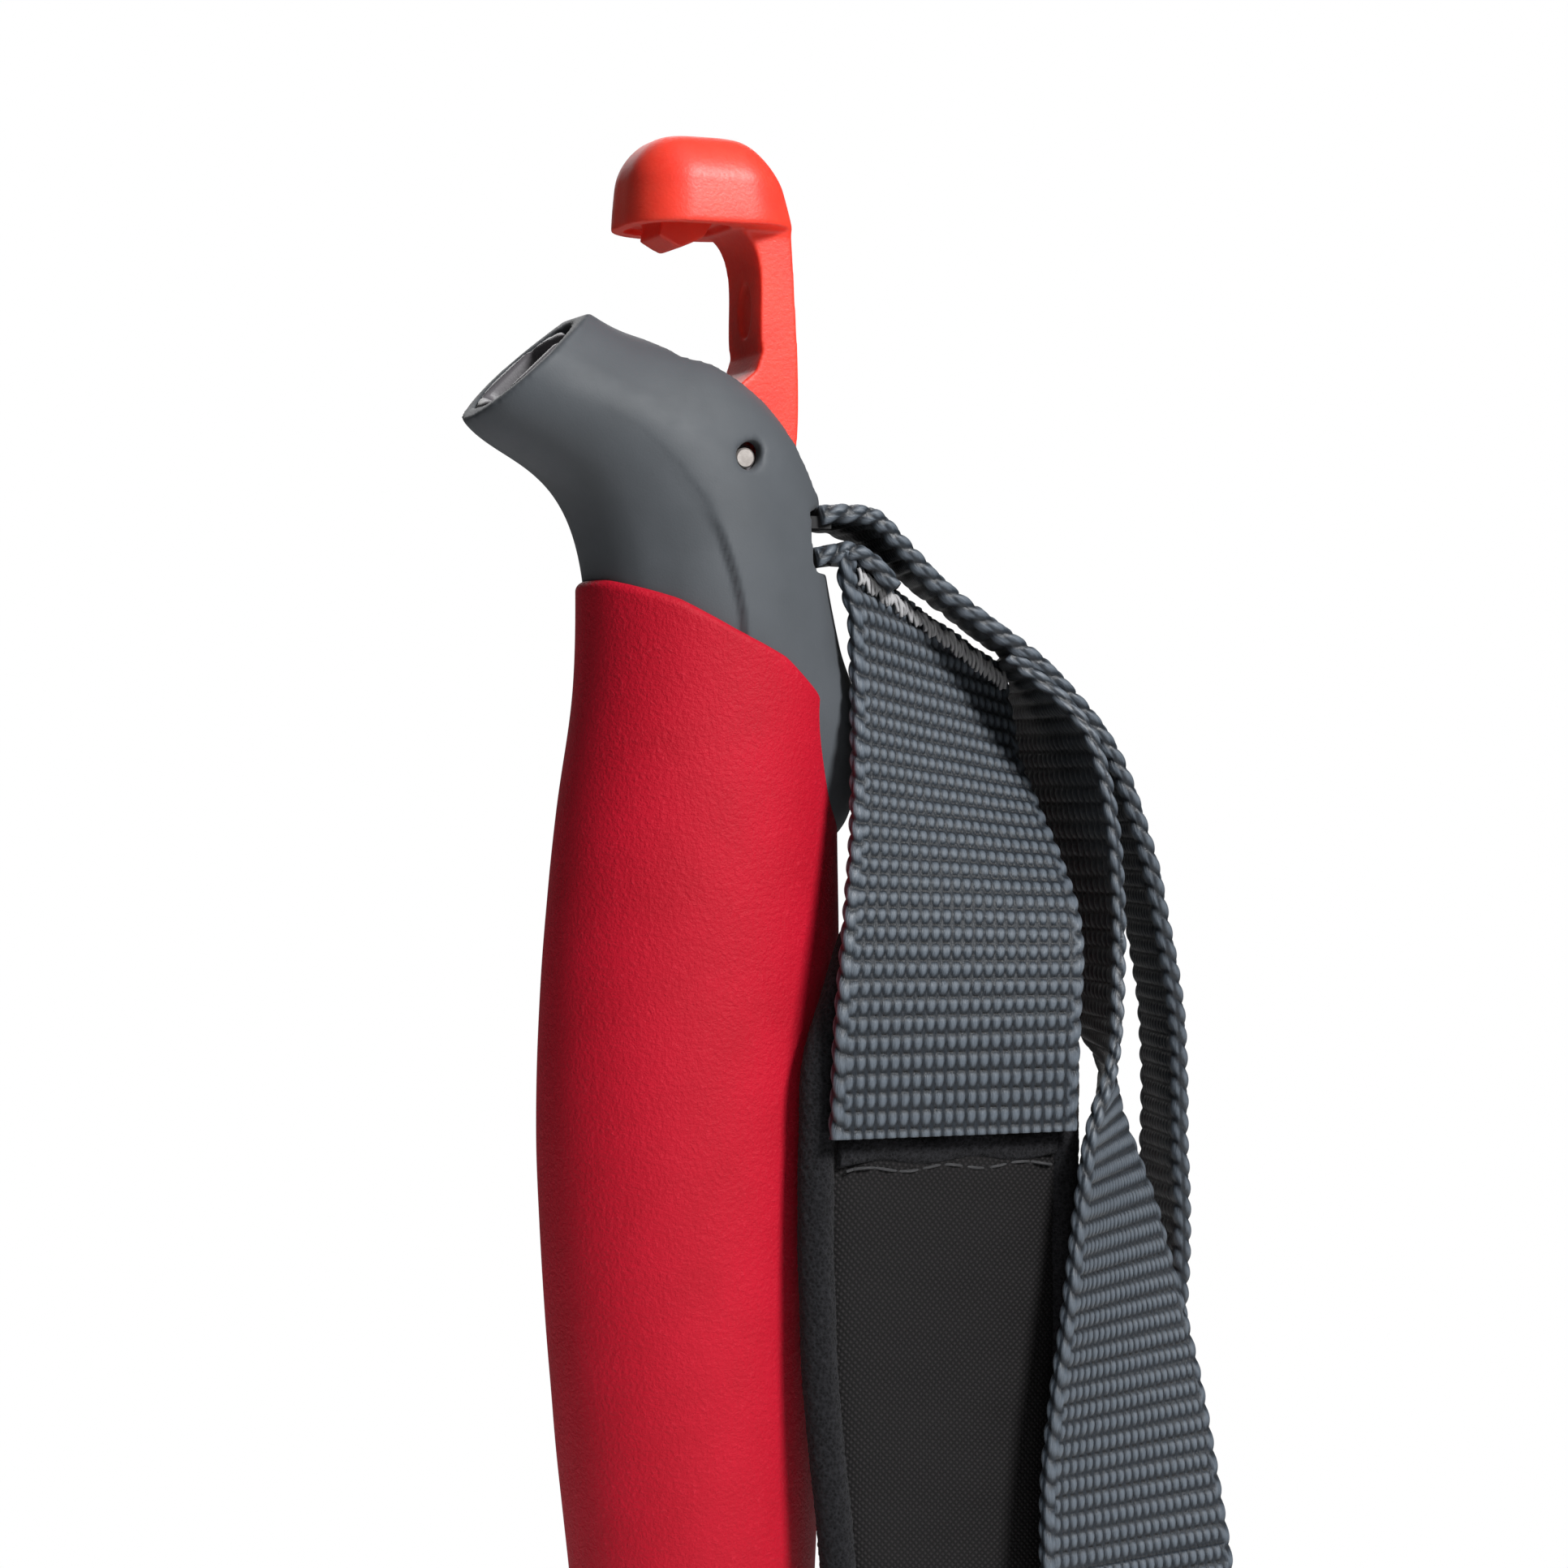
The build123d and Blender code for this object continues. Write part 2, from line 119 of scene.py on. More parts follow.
def set_values(piece, name, values):
    """Store one number for each point, for a material to read."""
    layer = piece.data.attributes.new(name, "FLOAT", "POINT")
    layer.data.foreach_set("value", np.asarray(values, np.float32).ravel())


def set_uv(piece, u, v):
    """Store a place in millimetres for each point as the piece's UV map, so threads follow the cloth."""
    uv = piece.data.uv_layers.new(name="cloth")
    index = np.zeros(len(piece.data.loops), np.int32)
    piece.data.loops.foreach_get("vertex_index", index)
    both = np.stack([np.ravel(u)[index], np.ravel(v)[index]], -1)
    uv.data.foreach_set("uv", both.astype(np.float32).ravel())


def turn_outwards(piece):
    """Make every face look outwards."""
    import bmesh
    work = bmesh.new()
    work.from_mesh(piece.data)
    bmesh.ops.recalc_face_normals(work, faces=work.faces)
    work.to_mesh(piece.data)
    work.free()


def smooth_curve(knots, values, where):
    """Cubic through listed values: each knot's slope is that of its two neighbours."""
    knots, values = np.asarray(knots, float), np.asarray(values, float)
    slope = np.gradient(values, knots, axis=0)
    i = np.clip(np.searchsorted(knots, where, side="right") - 1, 0, len(knots) - 2)
    gap = knots[i + 1] - knots[i]
    t = (where - knots[i]) / gap
    if values.ndim > 1:
        t, gap = t[..., None], gap[..., None]
    start, end = values[i], values[i + 1]
    return (start * (1 + 2 * t) * (1 - t) ** 2 + end * t * t * (3 - 2 * t)
            + gap * t * (1 - t) * (slope[i] * (1 - t) - slope[i + 1] * t))


# %% [markdown]
# ## Noise for shapes
# Soft things are never quite flat. A few sine waves of unlike lengths and directions make a gentle,
# repeatable unevenness, which needs no random numbers.

# %% Gentle unevenness
def waves(a, b, length, seed):
    """Sum of five sine waves over the plane (a, b): each is shorter and turned from the last."""
    total = np.zeros(np.broadcast(a, b).shape)
    for k in range(5):
        angle = 1.7 * k + 0.9 * seed
        scale = 2 * math.pi / length * (1 + 0.37 * k)
        total += np.sin(scale * (a * math.cos(angle) + b * math.sin(angle)) + 2.3 * k * seed + seed) / (1 + k)
    return total / 2.3


# %% [markdown]
# ## Materials
# A finish is a few nodes: a base colour that varies a little, a roughness, and a bump made from
# noise at the scale of the real texture. One small class keeps each recipe to a few lines.

# %% Material kit
class Finish:
    """A node material under construction, with a principled shader at its end."""

    def __init__(self, name, roughness, **sockets):
        self.material = bpy.data.materials.new(name)
        self.material.use_nodes = True
        self.tree = self.material.node_tree
        self.shader = self.tree.nodes["Principled BSDF"]
        self.shader.inputs["Roughness"].default_value = roughness
        for socket, value in sockets.items():
            self.shader.inputs[socket.replace("_", " ")].default_value = value

    def node(self, kind, settings=None, **inputs):
        """Add a node. An input is named as its socket is, or iN for the socket at place N."""
        made = self.tree.nodes.new("ShaderNode" + kind)
        for key, value in (settings or {}).items():
            setattr(made, key, value)
        for socket, value in inputs.items():
            numbered = socket.startswith("i")
            target = made.inputs[int(socket[1:]) if numbered else socket.replace("_", " ")]
            self.give(target, value)
        return made

    def give(self, socket, value):
        """Link a socket to another, or set its constant."""
        if isinstance(value, bpy.types.NodeSocket):
            self.tree.links.new(value, socket)
        else:
            socket.default_value = value

    def place(self):
        """The point on the piece, in the object's own coordinates."""
        return self.node("TexCoord").outputs["Object"]

    def noise(self, where, per_mm, detail=3.0, roughness=0.55):
        """Cloudy noise with per_mm features in a millimetre."""
        made = self.node("TexNoise", Scale=per_mm / MM, Detail=detail, Roughness=roughness)
        self.tree.links.new(where, made.inputs["Vector"])
        return made.outputs["Fac"]

    def math(self, operation, a, b=0.0):
        """One sum or product of two values."""
        return self.node("Math", {"operation": operation}, i0=a, i1=b).outputs[0]

    def ramp(self, factor, *stops):
        """Colour from a factor: each stop is a place from 0 to 1 and a colour."""
        made = self.node("ValToRGB")
        elements = made.color_ramp.elements
        while len(elements) < len(stops):
            elements.new(0.5)
        for element, (position, colour) in zip(elements, stops):
            element.position = position
            element.color = (*colour, 1.0)
        self.tree.links.new(factor, made.inputs["Fac"])
        return made.outputs["Color"]

    def mix(self, factor, a, b, blend="MIX"):
        """Two colours mixed, or added, and so on."""
        made = self.node("Mix", {"data_type": "RGBA", "blend_type": blend})
        self.give(made.inputs["Factor"], factor)
        self.give(made.inputs["A"], a if isinstance(a, bpy.types.NodeSocket) else (*a, 1.0))
        self.give(made.inputs["B"], b if isinstance(b, bpy.types.NodeSocket) else (*b, 1.0))
        return made.outputs["Result"]

    def colour(self, socket):
        """Give the finish its base colour."""
        self.tree.links.new(socket, self.shader.inputs["Base Color"])

    def bump(self, height, depth_mm, strength=1.0):
        """Give the finish a relief that is depth_mm deep."""
        made = self.node("Bump", Distance=depth_mm * MM, Strength=strength)
        self.tree.links.new(height, made.inputs["Height"])
        self.tree.links.new(made.outputs["Normal"], self.shader.inputs["Normal"])

    def rough(self, factor, low, high):
        """Let the roughness run from low to high with a factor."""
        made = self.node("MapRange", To_Min=low, To_Max=high)
        self.tree.links.new(factor, made.inputs["Value"])
        self.tree.links.new(made.outputs["Result"], self.shader.inputs["Roughness"])


def wear(piece, finish):
    """Give a piece its finish in place of any it has."""
    piece.data.materials.clear()
    piece.data.materials.append(finish.material)


# %% [markdown]
# ### Foam
# The sleeve is EVA foam, moulded and then skinned: a deep red, quite matt, with a fine grain from
# its cells and a soft bloom where light grazes it.

# %% Foam finish
def foam_finish():
    f = Finish("red_foam", 0.62, Sheen_Weight=0.06, Sheen_Roughness=0.4, Specular_IOR_Level=0.24)
    f.shader.inputs["Sheen Tint"].default_value = (1.0, 0.35, 0.42, 1.0)
    where = f.place()
    grain = f.noise(where, 1.7, 3.0, 0.7)
    cloud = f.noise(where, 0.12, 3.0)
    base = f.ramp(cloud, (0.25, (0.41, 0.0012, 0.014)), (0.75, (0.48, 0.002, 0.019)))
    pale = f.ramp(grain, (0.60, (0.0, 0.0, 0.0)), (0.78, (0.10, 0.012, 0.018)))
    f.colour(f.mix(1.0, base, pale, "ADD"))
    f.rough(grain, 0.52, 0.74)
    f.bump(grain, 0.26, 0.8)
    return f


red_foam = foam_finish()


# %% [markdown]
# ### Soft cover
# The head is overmoulded in a soft rubber: dark grey, smooth, with a satin sheen and faint marks
# left by the mould and by handling.

# %% Soft cover finish
def soft_finish(name, dark, light, roughness=0.5):
    f = Finish(name, roughness, Specular_IOR_Level=0.36, Sheen_Weight=0.06, Sheen_Roughness=0.5)
    where = f.place()
    cloud = f.noise(where, 0.09, 4.0)
    fine = f.noise(where, 4.0, 2.0)
    f.colour(f.ramp(cloud, (0.3, dark), (0.7, light)))
    f.rough(f.noise(where, 0.35, 4.0), roughness - 0.06, roughness + 0.08)
    f.bump(fine, 0.03, 0.5)
    return f


soft_grey = soft_finish("soft_grey_cover", (0.060, 0.067, 0.075), (0.072, 0.080, 0.090), 0.60)
core_grey = soft_finish("core_plastic", (0.085, 0.080, 0.088), (0.115, 0.108, 0.118), 0.42)
collar_black = soft_finish("collar_rubber", (0.020, 0.021, 0.024), (0.028, 0.030, 0.033), 0.5)


# %% [markdown]
# ### Lever plastic
# The lever is one moulding in orange-red acetal. Light goes a little way into it, its top is
# satin, and its shank carries the fine spark texture of the mould.

# %% Lever finish
def lever_finish():
    f = Finish("lever_acetal", 0.42, Subsurface_Weight=0.6, Subsurface_Scale=2.5 * MM)
    f.shader.inputs["Subsurface Radius"].default_value = (1.0, 0.25, 0.12)
    where = f.place()
    f.colour(f.ramp(f.noise(where, 0.16, 3.0), (0.3, (0.78, 0.040, 0.022)), (0.7, (0.90, 0.058, 0.030))))
    spark = f.noise(where, 2.4, 3.0, 0.6)
    f.rough(spark, 0.36, 0.58)
    f.bump(spark, 0.06, 0.7)
    return f


lever_red = lever_finish()


# %% [markdown]
# ### Steel
# The pins are ground dowels: fine rings from grinding and a few dull spots.

# %% Steel finish
def steel_finish():
    f = Finish("dowel_steel", 0.45, Metallic=0.85)
    where = f.place()
    f.colour(f.ramp(f.noise(where, 0.8, 4.0), (0.3, (0.26, 0.235, 0.22)), (0.7, (0.42, 0.39, 0.37))))
    f.rough(f.noise(where, 3.0, 3.0), 0.4, 0.65)
    f.bump(f.noise(where, 5.0, 2.0), 0.02, 0.5)
    return f


steel = steel_finish()


# %% [markdown]
# ### Webbing yarn
# Webbing is woven from bundles of fine polyester fibres. The weave itself is built as geometry, so
# the material only needs the fibres inside each bundle and their silky gloss. The fibres follow the
# piece's UV map. A stored height paints shade: dark between bundles and lighter on the crowns.

# %% Yarn finish
def yarn_finish(name, low, mid, high, sheen=0.35):
    f = Finish(name, 0.5, Sheen_Weight=sheen, Sheen_Roughness=0.35, Specular_IOR_Level=0.5)
    cloth = f.node("UVMap", {"uv_map": "cloth"}).outputs["UV"]
    along = f.node("Mapping")
    f.tree.links.new(cloth, along.inputs["Vector"])
    along.inputs["Scale"].default_value = (9.0, 0.8, 1.0)
    fibre = f.node("TexNoise", Scale=1.0, Detail=3.0, Roughness=0.6)
    f.tree.links.new(along.outputs["Vector"], fibre.inputs["Vector"])
    # Painted shade: the stored height turns the colour near black in the dips and lighter on the crowns.
    height = f.node("Attribute", {"attribute_name": "height"}).outputs["Fac"]
    shade_and_fibre = f.math("ADD", f.math("MULTIPLY", height, 0.8), f.math("MULTIPLY", fibre.outputs["Fac"], 0.42))
    f.colour(f.ramp(shade_and_fibre, (0.28, low), (0.68, mid), (1.0, high)))
    f.rough(fibre.outputs["Fac"], 0.34, 0.62)
    f.bump(fibre.outputs["Fac"], 0.13, 1.0)
    return f


webbing_blue = yarn_finish("webbing_yarn", (0.0015, 0.002, 0.003), (0.013, 0.019, 0.027),
                           (0.105, 0.126, 0.152), 0.06)
thread_grey = yarn_finish("thread_grey", (0.02, 0.02, 0.023), (0.17, 0.17, 0.18), (0.42, 0.42, 0.43))
thread_black = yarn_finish("thread_black", (0.002, 0.002, 0.0025), (0.010, 0.010, 0.011),
                           (0.035, 0.035, 0.038), 0.1)


# %% [markdown]
# ### Pad cloth, fleece and binding
# The pad's face is a close black cloth: two sets of bands that cross make a tiny weave. Its back
# and its edge binding are brushed, so they are rougher, with a bump of small tufts.

# %% Pad finishes
def cloth_finish():
    f = Finish("pad_cloth", 0.75, Sheen_Weight=0.03, Sheen_Roughness=0.5, Specular_IOR_Level=0.25)
    cloth = f.node("UVMap", {"uv_map": "cloth"}).outputs["UV"]
    turned = f.node("Mapping")
    f.tree.links.new(cloth, turned.inputs["Vector"])
    turned.inputs["Rotation"].default_value = (0.0, 0.0, math.radians(38))
    bands = []
    for direction in ("X", "Y"):
        wave = f.node("TexWave", {"bands_direction": direction}, Scale=0.55, Distortion=1.2, Detail=2.0)
        wave.inputs["Detail Scale"].default_value = 1.5
        f.tree.links.new(turned.outputs["Vector"], wave.inputs["Vector"])
        bands.append(wave.outputs["Fac"])
    weave = f.math("MULTIPLY", bands[0], bands[1])
    f.colour(f.ramp(weave, (0.05, (0.002, 0.0017, 0.002)), (0.7, (0.014, 0.012, 0.013))))
    f.bump(weave, 0.12, 0.9)
    return f


def fleece_finish(name, low, high):
    f = Finish(name, 0.9, Sheen_Weight=0.04, Sheen_Roughness=0.5, Specular_IOR_Level=0.15)
    where = f.place()
    tuft = f.node("TexVoronoi", Scale=2.2 / MM)
    f.tree.links.new(where, tuft.inputs["Vector"])
    loops = f.math("ADD", f.math("MULTIPLY", tuft.outputs["Distance"], 0.6), f.noise(where, 3.5, 4.0, 0.7))
    f.colour(f.ramp(loops, (0.45, low), (1.0, high)))
    f.bump(loops, 0.3, 0.9)
    return f


pad_cloth = cloth_finish()
fleece = fleece_finish("pad_fleece", (0.002, 0.002, 0.0025), (0.020, 0.020, 0.023))
binding_black = fleece_finish("edge_binding", (0.0015, 0.0015, 0.002), (0.020, 0.020, 0.023))
print(len(bpy.data.materials), "materials")

# %% [markdown]
# ## Moulded parts
# The lever, the cover and the core come from the design model with knife-sharp edges. A moulding
# has small radii everywhere. A fine remesh turns the shape into even squares, and a few rounds of
# smoothing wear every edge down to the radius that a mould would give it.

# %% Soften a design node
def softened(node, name, voxel, rounds):
    """A copy of a design node, remeshed at voxel millimetres, its edges rounded by smoothing."""
    import bmesh
    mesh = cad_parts[node].data.copy()
    work = bmesh.new()
    work.from_mesh(mesh)
    bmesh.ops.remove_doubles(work, verts=work.verts, dist=1e-6)
    work.to_mesh(mesh)
    work.free()
    piece = bpy.data.objects.new(name, mesh)
    piece.name = name
    bpy.context.scene.collection.objects.link(piece)
    remesh = piece.modifiers.new("even", "REMESH")
    remesh.mode = "VOXEL"
    remesh.voxel_size = voxel * MM
    remesh.use_smooth_shade = True
    smooth = piece.modifiers.new("radii", "SMOOTH")
    smooth.factor = 0.5
    smooth.iterations = rounds
    depsgraph = bpy.context.evaluated_depsgraph_get()
    final = bpy.data.meshes.new_from_object(piece.evaluated_get(depsgraph))
    piece.modifiers.clear()
    piece.data = final
    piece.data.polygons.foreach_set("use_smooth", [True] * len(final.polygons))
    print(name, len(final.polygons), "faces")
    return piece


def smoothstep(value):
    """0 below 0, 1 above 1, and a soft S between."""
    t = np.clip(value, 0, 1)
    return t * t * (3 - 2 * t)


def points_of(piece):
    """All of a mesh's points, in millimetres."""
    flat = np.empty(len(piece.data.vertices) * 3)
    piece.data.vertices.foreach_get("co", flat)
    return flat.reshape(-1, 3) / MM


def move_points(piece, points):
    """Put a mesh's points at new places, given in millimetres."""
    piece.data.vertices.foreach_set("co", (points * MM).ravel())
    piece.data.update()


# %% [markdown]
# ### Shape of the head
# The head's top line stands prouder of the design model over the nose, and so does the tongue that
# runs down its back. A faint line sweeps down each side from the nose and sharpens into a step.

# %% Head cover
CREASE = [(-20.0, 163.6), (-14.5, 161.9), (-10.0, 159.4), (-6.0, 155.6), (-2.6, 150.9), (-0.6, 146.4),
          (0.9, 142.0), (1.9, 138.0), (2.4, 133.0), (2.6, 120.0)]
NOSE_LEAN = 39.0


def shape_head(points):
    """The top line, tongue and crease: push moves points along u, tongue moves them out in x.

    u is square to the nose, at NOSE_LEAN from the x axis. Each side moves in y beside the crease.
    """
    x, y, z = points.T
    turn = math.radians(NOSE_LEAN)
    up = x * math.cos(turn) + z * math.sin(turn)
    ahead = z * math.cos(turn) - x * math.sin(turn)
    middle = np.interp(ahead, [104.0, 119.8, 132.0, 143.8], [97.5, 96.5, 93.2, 88.1])
    push = np.interp(ahead, [106, 116, 130, 144], [0, 2.2, 3.0, 2.1]) * smoothstep((up - middle - 3.5) / 6)
    tongue = (1.3 + 1.6 * smoothstep((120 - z) / 10)) * smoothstep((x - 11) / 6) * smoothstep((134 - z) / 10)
    tongue = tongue + 1.2 * np.exp(-((z - 151) / 6) ** 2) * smoothstep((x - 8) / 5)
    knots = np.array(CREASE)
    line = np.interp(-z, -knots[:, 1], knots[:, 0])
    depth = np.interp(-z, [-163, -158, -150, -145, -125], [0.05, 0.16, 0.35, 0.75, 0.75])
    behind = (x - line) / np.interp(-z, [-160, -150, -146, -130], [3.5, 1.6, 0.5, 0.4])
    side = smoothstep((np.abs(y) - 8.5) / 3) * smoothstep((164.5 - z) / 3)
    step = depth * (smoothstep(behind * 0.5 + 0.5) * np.exp(-np.maximum(x - line, 0) / 5.5) - 0.5)
    ahead_dip = -0.35 * depth * np.exp(-np.maximum(line - x, 0) / 4.0) * (x < line)
    return np.stack([x + push * math.cos(turn) + tongue, y + np.sign(y) * side * (step + ahead_dip),
                     z + push * math.sin(turn)], -1)


head = softened("head_cover", "head_cover_skin", 0.425, 6)
move_points(head, shape_head(points_of(head)))
wear(head, soft_grey)
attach(head, "grip")
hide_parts("head_cover")

core = softened("grip_core", "grip_core_moulding", 0.54, 3)
wear(core, core_grey)
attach(core, "grip")
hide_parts("grip_core")

# %% [markdown]
# ### Shape of the lever
# The thumb cap is a lopsided dome: tall at its free end, with a longer fall towards the shank. Its
# rim ends in a hard edge where it meets the shank, so that stretch is smoothed once more.

# %% Lever
CAP_RIM = 185.0
CAP_HEIGHT = 11.6
CAP_MIDDLE = 1.2


def shape_lever(points):
    """Above the rim, t runs from 0 to 1; the plan shrinks with t and the top falls away on both sides."""
    x, y, z = points.T
    t = np.clip((z - CAP_RIM) / CAP_HEIGHT, 0, 1)
    low = np.clip((z - CAP_RIM + 3.0) / 3.0, 0, 1)
    across = (x - CAP_MIDDLE) / 11.4
    left = np.where(across < 0, 1 - 0.10 * low, 1.0)
    lean = np.where(across > 0, -2.6 * t ** 1.1 * across, 1.1 * t ** 1.5 * np.abs(across))
    fall = 0.4 + np.where(across < 0, 1.0, 1.9) * np.abs(across + 0.1) ** 3 + 0.9 * np.abs(y / 9.3) ** 3
    wide = CAP_MIDDLE + (x - CAP_MIDDLE) * left + lean * low
    return np.stack([wide, y * (1 - 0.10 * t ** 1.5), z - fall * t], -1)


def melt(piece, weights, rounds):
    """Smooth a part of a mesh in place: weights says how much each point takes part."""
    group = piece.vertex_groups.new(name="melt")
    for level in range(1, 11):
        chosen = np.flatnonzero(np.round(weights * 10) == level).tolist()
        if chosen:
            group.add(chosen, level / 10, "REPLACE")
    smooth = piece.modifiers.new("melt", "SMOOTH")
    smooth.vertex_group = "melt"
    smooth.iterations = rounds
    depsgraph = bpy.context.evaluated_depsgraph_get()
    final = bpy.data.meshes.new_from_object(piece.evaluated_get(depsgraph))
    piece.modifiers.clear()
    piece.vertex_groups.clear()
    piece.data = final


lever = softened("flip_lever", "flip_lever_moulding", 0.24, 9)
move_points(lever, shape_lever(points_of(lever)))
lever_x, _, lever_z = points_of(lever).T
near_rim = np.exp(-((lever_z - CAP_RIM - 0.5) / 2.6) ** 2)
melt(lever, smoothstep((lever_x - 4) / 4) * near_rim, 45)
wear(lever, lever_red)
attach(lever, "lever")
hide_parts("flip_lever")

# %% [markdown]
# ## Foam sleeve
# The sleeve is a stack of ellipses that swell in the palm. Its top edge is cut on an S-shaped
# curve, so each column of the grid stops at its own height, then rolls over and goes down inside.

# %% Sleeve surface
neck = 134.0
sleeve_foot = 7.2
sleeve_wall = 2.2
edge_radius = 1.1
sleeve_knots = np.array([7.0, 20, 40, 57, 80, 97, 113, 129.5, 146])
sleeve_middle = [0.7, 0.5, -0.2, -0.6, -0.3, 0.4, 1.1, 2.2, 2.4]
sleeve_depth = [14.3, 15.3, 16.8, 17.7, 18.8, 18.6, 17.7, 16.5, 16.4]
sleeve_half = [13.3, 13.8, 14.5, 15.0, 15.3, 15.1, 14.8, 14.4, 14.2]
edge_x = [-19, -13, -6, 1, 8, 13, 16.4, 18.2, 19.2, 22]
edge_rise = [8.2, 7.6, 5.2, 1.6, -1.6, -5.6, -11, -18, -28, -33]


def sleeve():
    """x = middle(z) + depth(z) cos a and y = half(z) sin a, for z from the collar to the edge curve."""
    columns, rows, lip = 240, 260, 10
    angle = np.linspace(0, 2 * math.pi, columns, endpoint=False)
    top = np.full(columns, neck)
    for _ in range(30):
        reach = smooth_curve(sleeve_knots, sleeve_depth, top) * np.cos(angle)
        x = smooth_curve(sleeve_knots, sleeve_middle, top) + reach
        top = 0.5 * top + 0.5 * (neck + np.interp(x, edge_x, edge_rise))
    top = (np.roll(top, 1) + 2 * top + np.roll(top, -1)) / 4
    share = np.linspace(0, 1, rows)[:, None]
    z = sleeve_foot + (top - edge_radius - sleeve_foot) * share
    inset = np.zeros_like(z)
    roll = np.linspace(0, math.pi / 2, lip)[1:, None]
    lip_z = top - edge_radius + edge_radius * np.sin(roll)
    z = np.concatenate([z, lip_z, top - np.array([[0.3], [2.5], [5.0]])])
    rolled = edge_radius * (1 - np.cos(roll)) * np.ones(columns)
    inset = np.concatenate([inset, rolled, np.full((3, columns), sleeve_wall)])
    foot = np.array([[2.4], [1.0], [0.3]])
    z = np.concatenate([np.full((3, columns), sleeve_foot - 0.1), z])
    inset = np.concatenate([foot * np.ones(columns), inset])
    depth = smooth_curve(sleeve_knots, sleeve_depth, z) - inset + 0.06 * waves(z, angle * 15, 24, 1)
    half = smooth_curve(sleeve_knots, sleeve_half, z) - inset + 0.06 * waves(z, angle * 15, 24, 2)
    x = smooth_curve(sleeve_knots, sleeve_middle, z) + depth * np.cos(angle)
    points = np.stack([x, half * np.sin(angle), z], -1)
    piece = make_object("foam_sleeve_skin", points * MM, grid_faces(len(z), columns, True))
    turn_outwards(piece)
    return piece


sleeve_piece = sleeve()
wear(sleeve_piece, red_foam)
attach(sleeve_piece, "grip")
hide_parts("foam_sleeve")
print("sleeve", len(sleeve_piece.data.polygons), "faces")

# %% [markdown]
# ## Webbing
# A webbing is a flat weave whose lengthwise yarns float over the cross yarns and dive under them.
# Seen from outside, every float is a small bead, and neighbouring columns of beads are half a
# repeat out of step. So the face is a height map: at each point, the higher of two sets of
# half-ellipsoids. The edges are rounded and knotted by the cross yarn turning back.

# %% Rail that a webbing follows
SLOT_HEIGHT = 149.0


def rail(stations, width, samples=600):
    """Left edge, width direction and outward normal at even steps along a webbing, and its length."""
    table = np.array(stations, float)
    left = np.stack([table[:, 0], table[:, 1], SLOT_HEIGHT - table[:, 2]], -1)
    lean = np.radians(table[:, 3])
    wide = table[:, 4] * width
    middle = left + 0.5 * wide[:, None] * np.stack([np.cos(lean), np.sin(lean), 0 * lean], -1)
    knots = np.concatenate([[0], np.cumsum(np.linalg.norm(np.diff(middle, axis=0), axis=1))])
    at = np.linspace(0, knots[-1], samples)
    left, lean, wide = (smooth_curve(knots, v, at) for v in (left, lean, wide))
    across = np.stack([np.cos(lean), np.sin(lean), 0 * lean], -1)
    middle = left + 0.5 * wide[:, None] * across
    along = np.gradient(middle, at, axis=0)
    along -= across * np.sum(along * across, axis=1, keepdims=True)
    along /= np.linalg.norm(along, axis=1, keepdims=True)
    return {"at": at, "left": left, "across": across, "out": np.cross(along, across), "wide": wide,
            "length": knots[-1]}


def read_rail(track, key, at):
    """A rail's vector at any distances along it."""
    return np.stack([np.interp(at, track["at"], track[key][:, k]) for k in range(3)], -1)


# %% Bead weave
COLUMN = 1.5
ROW = 2.25
PLAIT = 2.9


def beads(x, along):
    """Height from 0 to 1: tall half-ellipsoids in rows, and low ones half a step on, between them."""
    height = np.zeros(np.broadcast(x, along).shape)
    for shift, tall, wide, long in ((0.0, 1.0, 0.80, 1.10), (0.5, 0.50, 0.46, 0.85)):
        dx = ((x / COLUMN - shift) % 1.0 - 0.5) * COLUMN
        dy = ((along / ROW - shift) % 1.0 - 0.5) * ROW
        dome = 1 - (dx / wide) ** 2 * (1 + 0.5 * dy / long) - np.abs(dy / long) ** 2.2
        height = np.maximum(height, tall * np.maximum(dome, 0) ** 0.55)
    return height


